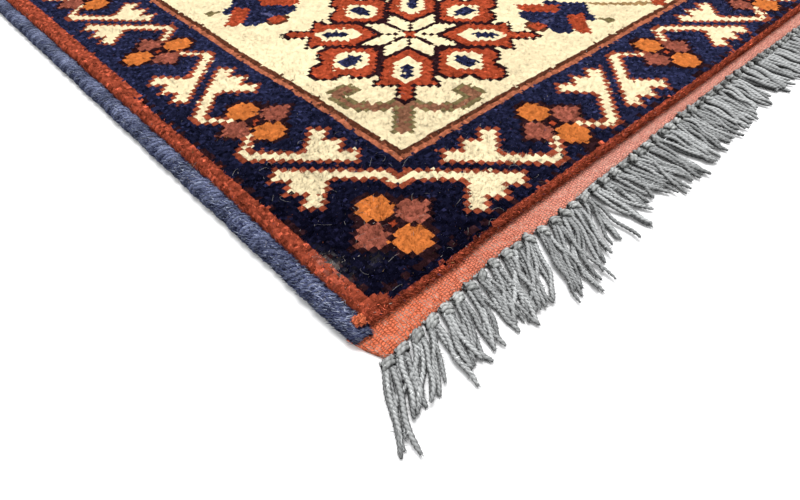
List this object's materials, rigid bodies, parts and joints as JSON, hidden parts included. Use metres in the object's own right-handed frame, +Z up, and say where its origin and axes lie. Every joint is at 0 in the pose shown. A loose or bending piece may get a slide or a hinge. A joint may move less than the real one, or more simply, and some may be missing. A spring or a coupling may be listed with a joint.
{
  "type": "oriental rug",
  "caption": "Small hand-knotted oriental rug lying flat, with a bordered pile, kilim ends, overcast side cords and a knotted fringe at both ends.",
  "frame": {"origin": "middle of the footprint, on the underside that lies on the floor", "axes": "+X across the rug, +Y along its warps from the near fringe to the far one, +Z up out of the pile"},
  "size_m": [0.9352, 1.3384, 0.0082],
  "materials": {
    "pile_wool": "short cut wool pile in navy, cream, rust, orange and brown knots",
    "side_wool": "overcast blue-grey wool",
    "fringe_yarn": "plied light grey warp yarn"
  },
  "bodies": {
    "root": {"rug_body": "pile_wool", "selvedge_left": "side_wool", "selvedge_right": "side_wool", "fringe_near": "fringe_yarn", "fringe_far": "fringe_yarn"}
  },
  "joints": []
}
